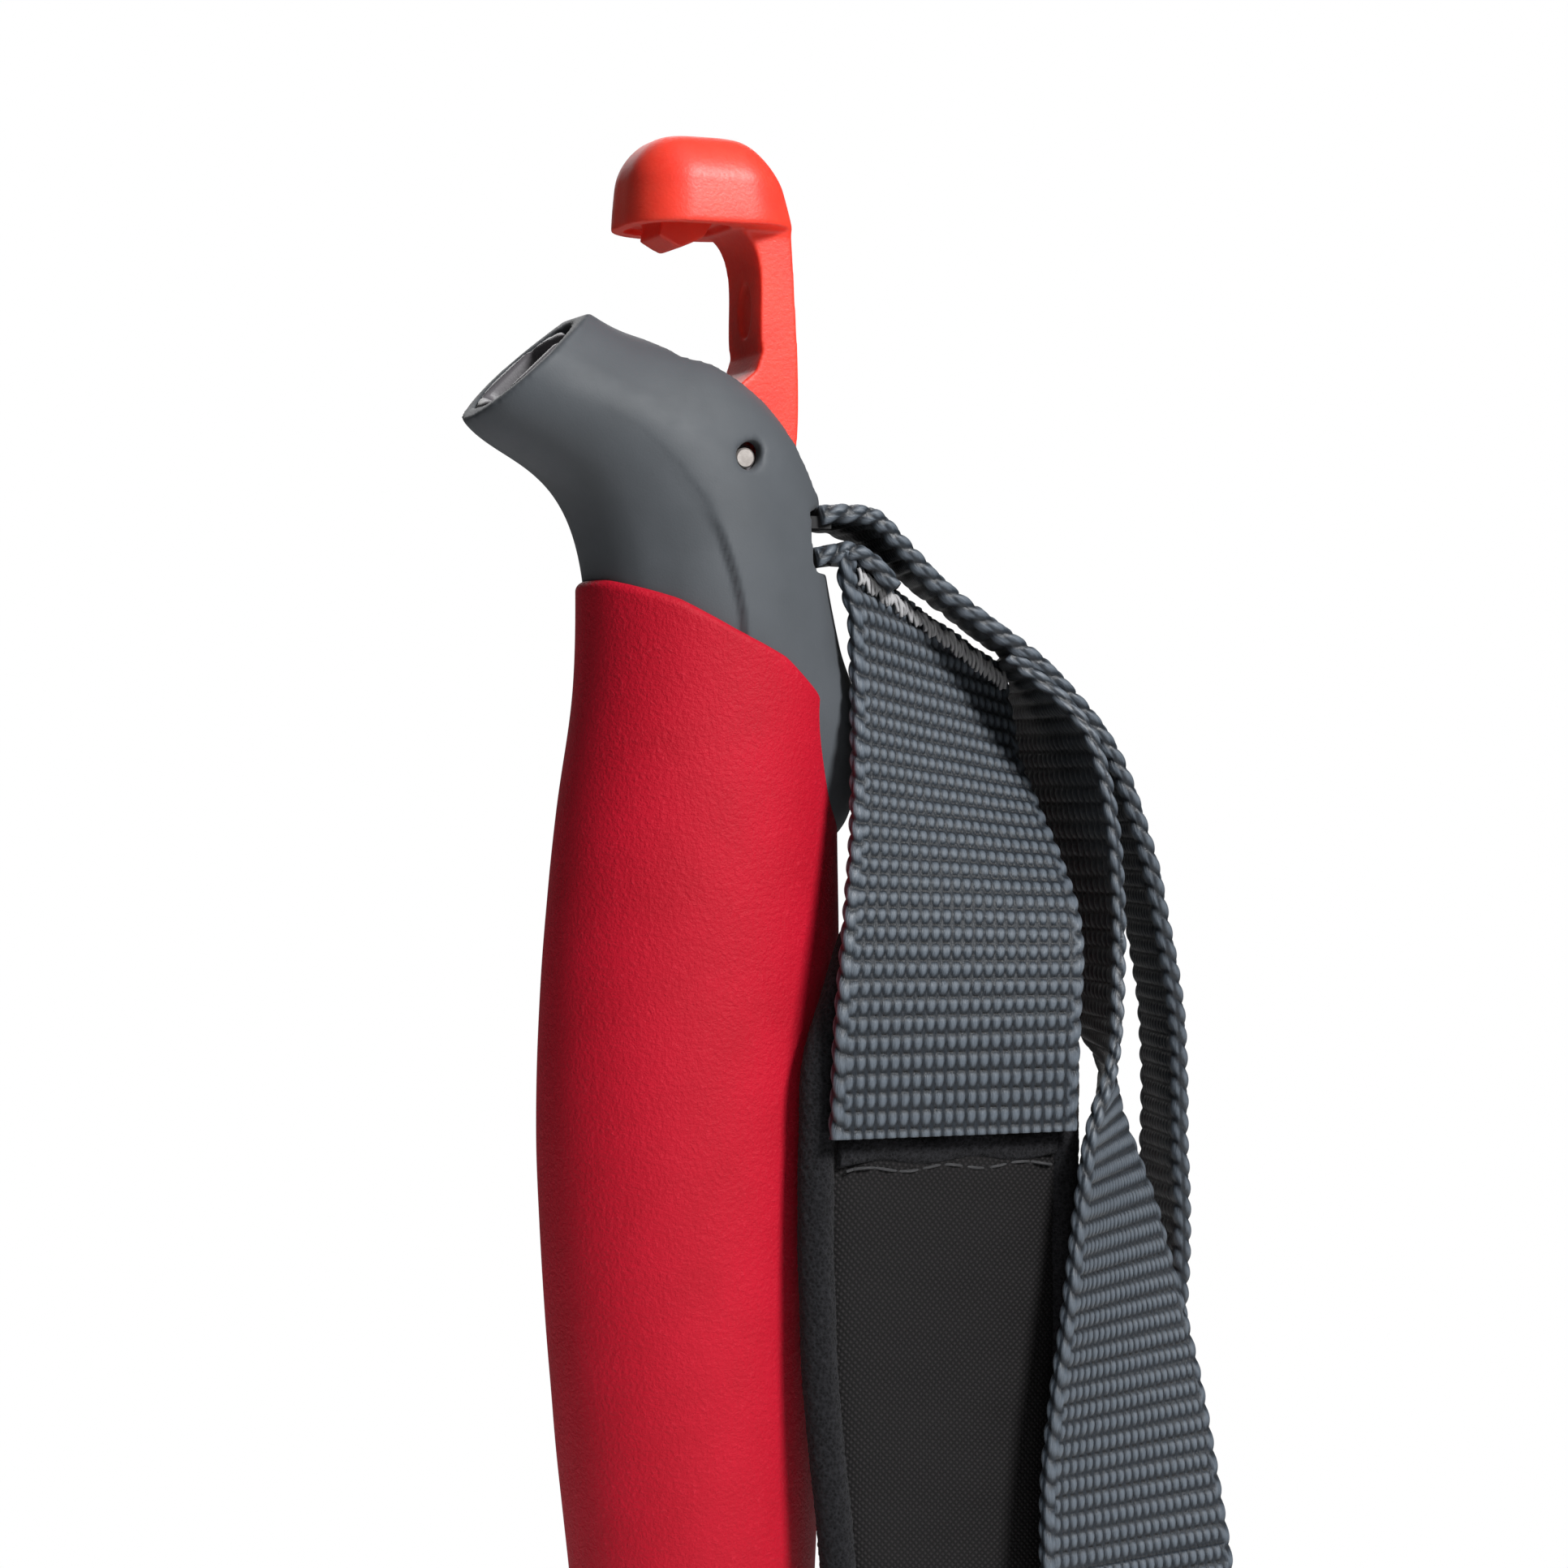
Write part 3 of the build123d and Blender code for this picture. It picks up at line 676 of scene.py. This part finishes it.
# %% Webbing surface
def webbing(name, stations, width, nodes, thick=1.6, relief=0.62, column_step=0.2, row_step=0.28,
            cut=0.0, shear=lambda along: 0.0, span=(0.0, 1.0), sink=0.0, leaves_slot=False):
    """Closed band: point = left + across * x + out * n - up * shear * x.

    x runs across the width and n is the weave's height. cut delays each column's start by a share
    of x, for a slanted end. shear drops the far edge, which slants the rows where the band hangs.
    sink moves the band inwards. leaves_slot fades that sink in over the first 14 mm, where the band
    comes out of the head, and leaves the band on no body instead of the strap.
    """
    track = rail(stations, width)
    count = int(width / column_step)
    edge = 11
    flat = np.linspace(0, width, count)
    bow = np.linspace(-90, 90, edge + 2)[1:-1] * math.pi / 180
    half = thick / 2
    x = np.concatenate([flat, width + half * np.cos(bow[::-1]), flat[::-1], -half * np.cos(bow)])
    flat_rise = np.full(count, half)
    rise = np.concatenate([flat_rise, half * np.sin(bow[::-1]), -flat_rise, half * np.sin(bow)])
    face = np.concatenate([np.ones(count), np.zeros(edge), -np.ones(count), np.zeros(edge)])
    low, high = (share * track["length"] for share in span)
    begin = low + cut * np.clip(x, 0, width)
    rows = int((high - low) / row_step)
    along = begin + (high - begin) * np.linspace(0, 1, rows)[:, None]
    height = beads(x + 0 * along, along)
    inner = np.clip(np.minimum(x, width - x) / 0.8, 0, 1) * np.abs(face)
    plait = np.abs(np.sin(math.pi * (along / PLAIT - 0.42 * np.abs(rise) / half * np.sign(rise))))
    plait = plait ** 0.7 * (1 - 0.55 * np.exp(-(rise / (0.22 * half)) ** 2))
    lift = relief * (height - 0.5) * inner + 0.4 * (plait - 0.5) * (1 - inner)
    squeeze = np.interp(along, track["at"], track["wide"]) / width
    place = x * squeeze + (1 - np.abs(face)) * np.sign(x - width / 2) * 0.4 * plait
    n = rise + np.sign(rise) * np.where(np.abs(face) > 0, 1, np.abs(rise) / half) * lift
    n = n + 0.16 * waves(along, x, 26, 3) - sink * smoothstep((along - low) / 14 if leaves_slot else 1.0)
    points = (read_rail(track, "left", along) + read_rail(track, "across", along) * place[..., None]
              + read_rail(track, "out", along) * n[..., None])
    points[..., 2] -= shear(along) * place
    columns = len(x)
    faces = grid_faces(rows, columns, True)
    front = list(range(count))
    rear = [count + edge + count - 1 - i for i in front]
    for row, flip in ((0, False), (rows - 1, True)):
        base = row * columns
        strip = [[base + front[i], base + front[i + 1], base + rear[i + 1], base + rear[i]]
                 for i in front[:-1]]
        strip.append([base + front[-1]] + [base + count + k for k in range(edge)] + [base + rear[-1]])
        second = base + 2 * count + edge
        strip.append([base + rear[0]] + [second + k for k in range(edge)] + [base + front[0]])
        faces += [f[::-1] if flip else f for f in strip]
    piece = make_object(name, points * MM, faces)
    # Painted shade: the stored height darkens the dips between beads and between edge knots, and the back
    # face is painted darker still, at 0.3 of it.
    shown = np.clip(height * inner + (0.15 + 0.8 * plait) * (1 - inner), 0, 1)
    set_values(piece, "height", shown * np.where(face < 0, 0.3, 1.0))
    set_uv(piece, x + 0 * along, along)
    turn_outwards(piece)
    wear(piece, webbing_blue)
    if leaves_slot:
        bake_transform(piece)
    else:
        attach(piece, "strap")
    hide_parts(*nodes)
    print(name, round(high - low, 1), "mm long,", len(piece.data.polygons), "faces")
    return piece


# %% [markdown]
# ### The four lengths of webbing
# Each station is the x and y of the left edge, its depth below the strap slot, the width's turn
# away from the x axis in degrees, and the share of the full width.

# %% Adjusting webbing, from the slot to the tail
NARROW = 16.0
WIDE = 31.0
SHORT = 13.0
adjusting_stations = [
    (14.2, -8.0, -0.9, 90, 1.0), (18.2, -8.0, -1.3, 90, 1.0),
    (21.2, -8.0, -1.2, 86, 1.0), (25.9, -8.0, 2.1, 77, 1.0),
    (30.0, -8.0, 6.1, 72, 1.0), (36.7, -8.0, 11.1, 70, 1.0), (42.7, -8.0, 15.1, 70, 1.0),
    (48.0, -8.0, 19.5, 71, 1.0), (51.9, -8.0, 23.5, 73, 1.0), (54.8, -8.0, 27.5, 75, 1.0),
    (58.2, -8.0, 35.5, 76, 1.0), (60.8, -7.8, 43.5, 76, 1.0), (63.0, -7.0, 51.5, 76, 1.0),
    (65.4, -5.0, 59.5, 76, 1.0), (67.8, -2.0, 75.5, 77, 1.0), (69.6, 1.0, 91.5, 80, 1.0),
    (70.2, 3.4, 104.0, 84, 1.0), (70.2, 5.0, 121.0, 86, 1.0),
]
webbing("adjusting_webbing", adjusting_stations, NARROW, ["adjusting_web"], thick=2.0, sink=0.9,
        leaves_slot=True)
webbing("tail_fold", adjusting_stations[-2:], NARROW, ["tail_hem"], thick=1.6, sink=2.9)

# %% Rear webbing
rear_stations = [
    (40.5, -7.9, 15.4, 70, 0.50), (44.0, -8.6, 18.6, 73, 0.66),
    (46.9, -9.8, 21.4, 80, 0.80), (49.4, -11.2, 25.0, 86, 0.92),
    (50.9, -12.2, 29.5, 90, 0.98), (52.0, -13.2, 37.0, 93, 1.0),
    (52.4, -13.8, 45.0, 92, 1.0), (52.2, -14.6, 52.0, 88, 1.0), (51.4, -16.2, 59.0, 82, 1.0),
    (49.4, -19.0, 66.0, 68, 1.0), (44.7, -22.0, 76.0, 56, 1.0), (42.9, -22.8, 86.0, 47, 1.0),
    (41.1, -23.5, 96.0, 39, 1.0), (39.3, -24.0, 106.0, 31, 1.0), (38.0, -24.5, 116.0, 25, 1.0),
    (37.2, -25.5, 129.0, 19, 1.0), (36.0, -27.5, 149.0, 13, 1.0), (33.0, -30.5, 168.0, 7, 1.0),
    (28.4, -32.4, 183.0, 2, 1.0), (24.0, -32.4, 194.0, -2, 1.0), (20.8, -29.8, 202.0, -5, 1.0),
    (18.8, -24.8, 205.0, -2, 1.0), (17.4, -19.6, 201.5, 0, 1.0), (16.8, -16.6, 194.0, 2, 1.0),
    (16.6, -14.9, 185.0, 2, 1.0), (16.6, -14.2, 175.0, 2, 1.0),
]
for name, span in (("rear_webbing_upper", (0.0, 0.5)), ("rear_webbing_loop", (0.5, 1.0))):
    webbing(name, rear_stations, WIDE, ["rear_web"], column_step=0.24, row_step=0.35, span=span, sink=0.6)

# %% Short end from the slot to the seam
lower_stations = [
    (13.6, -8.0, 4.3, 88, 1.0), (15.9, -8.0, 3.9, 84, 1.0),
    (18.0, -8.2, 3.5, 76, 1.0), (19.8, -8.4, 4.2, 71, 1.0),
    (21.6, -8.6, 5.5, 68, 1.0), (23.8, -8.8, 8.0, 68, 1.0),
]
webbing("short_webbing", lower_stations, SHORT, ["front_web"], thick=1.9, leaves_slot=True)

# %% Front webbing, with its slanted cut
front_stations = [
    (17.4, -8.2, 3.6, 30, 1.0), (17.6, -8.4, 7.5, 30, 1.0), (18.5, -8.9, 11.5, 30, 1.0),
    (18.4, -9.6, 15.5, 30, 1.0), (18.2, -10.6, 19.5, 29, 1.0), (17.7, -11.9, 23.5, 28, 1.0),
    (16.7, -14.2, 31.5, 22, 1.0), (15.2, -17.0, 40.5, 13, 1.0), (13.4, -19.4, 50.5, 4, 1.0),
    (12.0, -20.6, 60.0, 2, 1.0), (11.3, -20.6, 74.6, 2, 1.0),
]
SLANT = 0.27


def row_slope(along):
    """How fast the rows drop across the band: steep under the cut and level at the bottom."""
    return np.interp(along, [0, 22, 45, 62], [0.20, 0.14, 0.04, 0.0])


webbing("front_webbing", front_stations, WIDE, ["front_web"], cut=SLANT, shear=row_slope)

# %% [markdown]
# ## Wrist pad
# The pad is a thin slab of foam between a cloth face and a brushed back, with a stretch binding
# rolled round each long edge. Its stations are as above, with the width itself in millimetres.

# %% Pad surfaces
pad_stations = [
    (15.4, -13.2, 48.5, 2.0, 28.0), (11.6, -15.2, 57.0, 2.0, 33.2), (8.7, -16.5, 65.0, 2.0, 36.8),
    (8.1, -16.7, 75.0, 2.0, 37.4), (8.1, -16.7, 90.0, 2.0, 37.4), (8.6, -16.7, 104.0, 2.0, 37.0),
    (10.0, -16.8, 119.0, 2.0, 36.4), (11.6, -17.0, 134.0, 2.0, 36.0), (13.2, -17.2, 149.0, 2.0, 35.6),
    (15.0, -17.4, 168.0, 2.0, 34.2), (17.4, -17.6, 181.0, 2.0, 30.0),
]
pad_rail = rail(pad_stations, 1.0)
BINDING = 4.2


def pad_layer(name, low, crown, wrinkle, seed):
    """Closed slab between low and its crowned top: n = low + crown * (1 - (2s - 1) ** 4) + wrinkles."""
    rows, columns = 360, 110
    s = np.linspace(0, 1, columns)
    ring = np.concatenate([s, s[::-1]])
    top = np.concatenate([np.ones(columns), np.zeros(columns)])
    share = np.linspace(0, 1, rows)[:, None]
    along = share * pad_rail["length"]
    wide = np.interp(along, pad_rail["at"], pad_rail["wide"])
    x = BINDING - 1.2 + (wide - 2 * BINDING + 2.4) * ring
    side = np.sqrt(np.clip(1 - (2 * ring - 1) ** 6, 0, 1))
    end = np.clip(np.minimum(share, 1 - share) / 0.015, 0, 1) ** 0.5
    dome = crown * side * end * (1 + 0.10 * waves(along, x, 30, seed))
    fold = wrinkle * waves(along, x * 0.35, 9, seed + 2) * side * end
    n = low + top * (dome + fold)
    across = read_rail(pad_rail, "across", along + 0 * x)
    points = (read_rail(pad_rail, "left", along + 0 * x) + across * x[..., None]
              + read_rail(pad_rail, "out", along + 0 * x) * n[..., None])
    faces = grid_faces(rows, 2 * columns, True)
    for row, flip in ((0, False), (rows - 1, True)):
        base = row * 2 * columns
        strip = [[base + i, base + i + 1, base + 2 * columns - 2 - i, base + 2 * columns - 1 - i]
                 for i in range(columns - 1)]
        faces += [f[::-1] if flip else f for f in strip]
    piece = make_object(name, points * MM, faces)
    set_uv(piece, x, along + 0 * x)
    turn_outwards(piece)
    return piece


pad_face = pad_layer("pad_face_cloth", 0.3, 1.9, 0.10, 4)
wear(pad_face, pad_cloth)
pad_back = pad_layer("pad_back_fleece", -0.2, -1.8, 0.08, 7)
wear(pad_back, fleece)
for piece, nodes, slot in ((pad_face, ["pad_face", "pad_foam"], "pad_cloth"),
                           (pad_back, ["pad_lining"], "pad_lining")):
    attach(piece, "strap")
    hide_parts(*nodes)


# %% Edge binding
def binding(name, right, node, seed):
    """Tube of egg-shaped section along one edge of the pad, furred by small bumps."""
    rows, columns = 520, 44
    angle = np.linspace(0, 2 * math.pi, columns, endpoint=False)
    share = np.linspace(0, 1, rows)[:, None]
    along = share * pad_rail["length"]
    wide = np.interp(along, pad_rail["at"], pad_rail["wide"])
    end = np.clip(np.minimum(share, 1 - share) / 0.012, 0.02, 1) ** 0.5
    fur = 0.10 * waves(along, angle * 3, 1.5, seed) + 0.06 * waves(along, angle * 5, 0.7, seed + 3)
    slack = 0.25 * waves(along, angle * 0, 16, seed + 1)
    x = BINDING / 2 + (BINDING / 2 + 0.1 + fur) * np.cos(angle) * end + slack * 0.4
    x = wide - x if right else x
    n = (2.5 + fur) * np.sin(angle) * end * (0.9 + 0.1 * np.cos(angle)) + slack * 0.5
    across = read_rail(pad_rail, "across", along + 0 * x)
    points = (read_rail(pad_rail, "left", along + 0 * x) + across * x[..., None]
              + read_rail(pad_rail, "out", along + 0 * x) * n[..., None])
    faces = grid_faces(rows, columns, True)
    faces.append(list(range(columns))[::-1])
    faces.append([(rows - 1) * columns + i for i in range(columns)])
    piece = make_object(name, points * MM, faces)
    turn_outwards(piece)
    wear(piece, binding_black)
    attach(piece, "strap")
    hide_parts(node)
    return piece


binding("pad_binding_left", False, "pad_binding_front", 1)
binding("pad_binding_right", True, "pad_binding_rear", 2)


# %% [markdown]
# ## Sewing
# Thread is a thin tube that follows the needle. The slanted edge of the front webbing is closed by
# a dense zigzag, and the pad is crossed by a plain seam.

# %% Knitted roll that hides the webbing's end
def seam_roll():
    """Flattened tube across the pad, its radius made uneven by short waves."""
    rows, columns = 300, 28
    x = np.linspace(4.2, 33.4, rows)[:, None]
    angle = np.linspace(0, 2 * math.pi, columns, endpoint=False)
    along = 28.2 + 0.35 * np.sin(x * 0.5) + (1.7 + 0.12 * waves(x, angle * 2, 1.4, 5)) * np.cos(angle)
    n = 1.9 + (0.95 + 0.10 * waves(x, angle * 2, 1.1, 6)) * np.sin(angle)
    x = x + 0 * angle
    points = (read_rail(pad_rail, "left", along) + read_rail(pad_rail, "across", along) * x[..., None]
              + read_rail(pad_rail, "out", along) * n[..., None])
    faces = grid_faces(rows, columns, True)
    faces += [list(range(columns))[::-1], [(rows - 1) * columns + i for i in range(columns)]]
    piece = make_object("seam_roll", points * MM, faces)
    turn_outwards(piece)
    wear(piece, binding_black)
    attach(piece, "strap")
    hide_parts("pad_face")


seam_roll()


# %% Thread
def thread(name, path, radius, finish, node):
    """Tube round a path in millimetres: point = path + radius * (side cos a + up sin a)."""
    path = np.asarray(path, float)
    along = np.gradient(path, axis=0)
    along /= np.linalg.norm(along, axis=1, keepdims=True)
    up = np.array([0.0, -1.0, 0.0])
    side = np.cross(along, up)
    side /= np.linalg.norm(side, axis=1, keepdims=True)
    over = np.cross(side, along)
    columns = 8
    angle = np.linspace(0, 2 * math.pi, columns, endpoint=False)[:, None]
    points = path[:, None] + radius * (side[:, None] * np.cos(angle) + over[:, None] * np.sin(angle))
    faces = grid_faces(len(path), columns, True)
    faces.append(list(range(columns))[::-1])
    faces.append([(len(path) - 1) * columns + i for i in range(columns)])
    piece = make_object(name, points * MM, faces)
    run = np.arange(len(path))[:, None] * 0.2 + 0 * angle.T
    set_uv(piece, angle.T * 0.3 + 0 * run, run)
    # Painted light and shade: the stored height makes the thread lighter on its side turned to -y and darker
    # on its side turned to +y.
    set_values(piece, "height", 0.55 + 0.45 * np.sin(angle.T) + 0 * run)
    turn_outwards(piece)
    wear(piece, finish)
    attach(piece, "strap")
    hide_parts(node)
    return piece


def front_surface(x, along, lift):
    """A point on the front webbing, lift millimetres outside its middle."""
    track = rail(front_stations, WIDE)
    points = (read_rail(track, "left", along) + read_rail(track, "across", along) * x[:, None]
              + read_rail(track, "out", along) * lift[:, None])
    points[:, 2] -= row_slope(along) * x
    return points


def zigzag_path():
    """The needle goes from one side of the seam to the other, a little further along each time."""
    stitches, steps = 66, 8
    t = np.arange(stitches * steps) / steps
    x = 0.8 + 29.4 * t / stitches
    swing = np.abs((t % 2.0) - 1.0)
    wobble = 0.26 * np.sin(t * 2.1) + 0.22 * np.sin(t * 5.3)
    along = SLANT * x + 1.3 + 2.5 * swing + wobble
    lift = 1.15 + 0.3 * np.sin(swing * math.pi) + 0.12 * np.sin(t * 3.7)
    return front_surface(x, along, lift)


thread("zigzag_thread", zigzag_path(), 0.25, thread_grey, "zigzag_stitches")


def pad_seam_path():
    """A row of long stitches across the pad, each dipping into the cloth at its ends."""
    x = np.linspace(5.0, 33.0, 240)
    along = 30.6 + 0.3 * np.sin(x * 0.6) + 0 * x
    lift = 1.9 + 0.45 * np.abs(np.sin(x * math.pi / 3.0))
    return (read_rail(pad_rail, "left", along) + read_rail(pad_rail, "across", along) * x[:, None]
            + read_rail(pad_rail, "out", along) * lift[:, None])


thread("pad_seam_thread", pad_seam_path(), 0.2, thread_black, "pad_stitches")

# %% [markdown]
# ## Design nodes that are shown as they are
# The pins, the anvil, the shoe and the collar already have their true shape. They only need a finish.

# %% Finishes for design nodes
for node, finish in (("lever_pin", steel), ("strap_anchor_pin", steel), ("strap_anvil", steel),
                     ("clamp_shoe", core_grey), ("bottom_collar", collar_black),
                     ("strap_inner_web", webbing_blue)):
    wear(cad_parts[node], finish)

# %% [markdown]
# ## Floor and light
# A round pale floor, a soft key to the camera's right, a top light, a back light and a weak fill. The
# sky is white to the camera and dim to everything else, so the object keeps the dark sides that
# give it its form.

# %% Studio
def studio():
    """Round pale floor a little below the lowest point of the design model."""
    radius, corners, gap = 380.0, 96, 4.0
    angle = np.linspace(0, 2 * math.pi, corners, endpoint=False)
    level = 0 * angle + cad_box[0].z / MM - gap
    points = np.stack([radius * np.cos(angle), radius * np.sin(angle), level], -1)
    floor = make_object("studio_floor", points * MM, [list(range(corners))])
    paint = Finish("floor_paint", 0.9)
    paint.shader.inputs["Base Color"].default_value = (0.9, 0.9, 0.9, 1.0)
    wear(floor, paint)


def soft_light(name, azimuth, elevation, distance, size, power):
    """Disk lamp that points at the camera's aim: azimuth is from the camera, positive to its right."""
    a = VIEW_TURN + math.radians(azimuth)
    e = math.radians(elevation)
    way = Vector((math.sin(a) * math.cos(e), -math.cos(a) * math.cos(e), math.sin(e)))
    lamp = bpy.data.objects.new(name, bpy.data.lights.new(name, "AREA"))
    lamp.data.shape = "DISK"
    lamp.data.size = size
    lamp.data.energy = power
    lamp.location = aim + way * distance
    lamp.rotation_euler = (-way).to_track_quat("-Z", "Y").to_euler()
    bpy.context.scene.collection.objects.link(lamp)


studio()
soft_light("key", 42, 36, 0.9, 0.26, 11.5)
soft_light("top", 20, 78, 1.3, 0.7, 2.0)
soft_light("fill", 5, 8, 1.1, 0.4, 0.6)
soft_light("back", 190, 30, 1.2, 0.8, 4.0)
world = bpy.data.worlds.new("studio")
bpy.context.scene.world = world
world.use_nodes = True
nodes, links = world.node_tree.nodes, world.node_tree.links
ray = nodes.new("ShaderNodeLightPath")
level = nodes.new("ShaderNodeMapRange")
level.inputs["To Min"].default_value = 0.06
level.inputs["To Max"].default_value = 1.0
links.new(ray.outputs["Is Camera Ray"], level.inputs["Value"])
links.new(level.outputs["Result"], nodes["Background"].inputs["Strength"])
nodes["Background"].inputs["Color"].default_value = (1.0, 1.0, 1.0, 1.0)
bpy.context.scene.view_settings.view_transform = "Standard"
